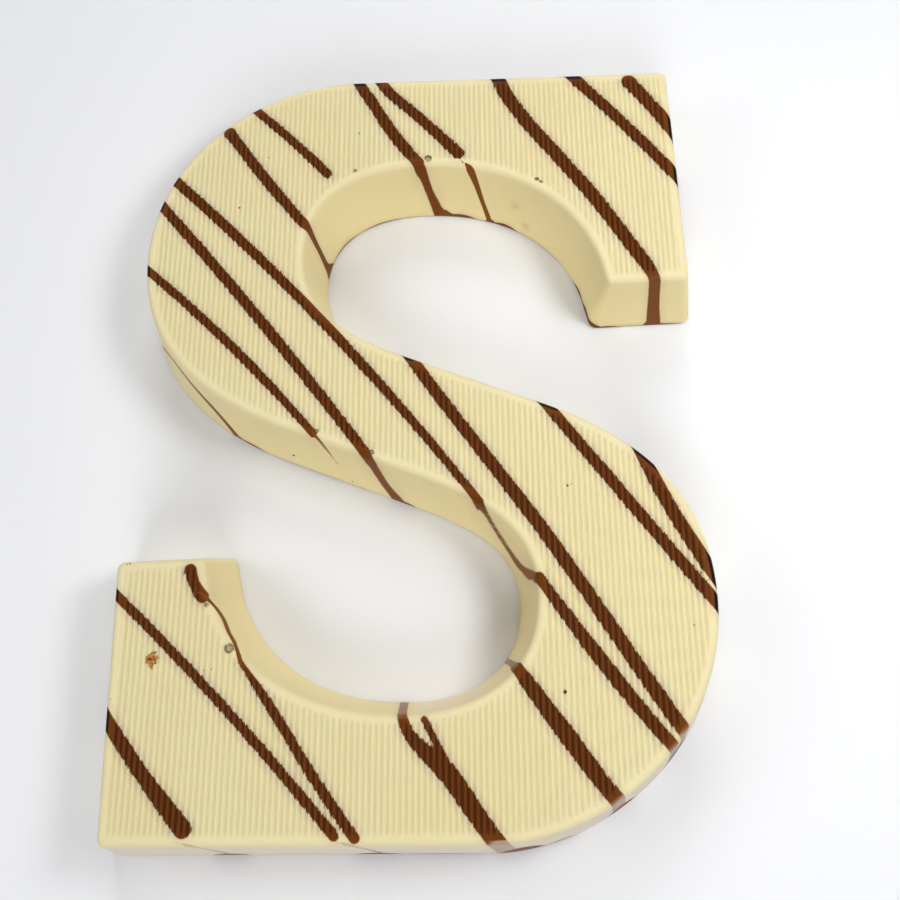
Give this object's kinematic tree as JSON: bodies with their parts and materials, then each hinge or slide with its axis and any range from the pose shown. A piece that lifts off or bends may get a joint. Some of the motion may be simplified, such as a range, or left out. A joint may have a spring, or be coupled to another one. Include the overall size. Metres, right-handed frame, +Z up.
{
  "type": "chocolate letter",
  "caption": "Moulded white chocolate letter S with leaning walls, a finely ribbed top face and slanting dark chocolate stripes, lying on its flat underside.",
  "frame": {"origin": "middle of the flat underside, at the centre of the letter's plan", "axes": "+Z up through the ribbed top face, +Y towards the head of the letter and along the ribs, +X to the reader's right"},
  "size_m": [0.1116, 0.1536, 0.0155],
  "materials": {
    "white_chocolate": "satin, moulded",
    "dark_chocolate": "satin, moulded"
  },
  "bodies": {
    "root": {"letter": "white_chocolate"}
  },
  "joints": []
}
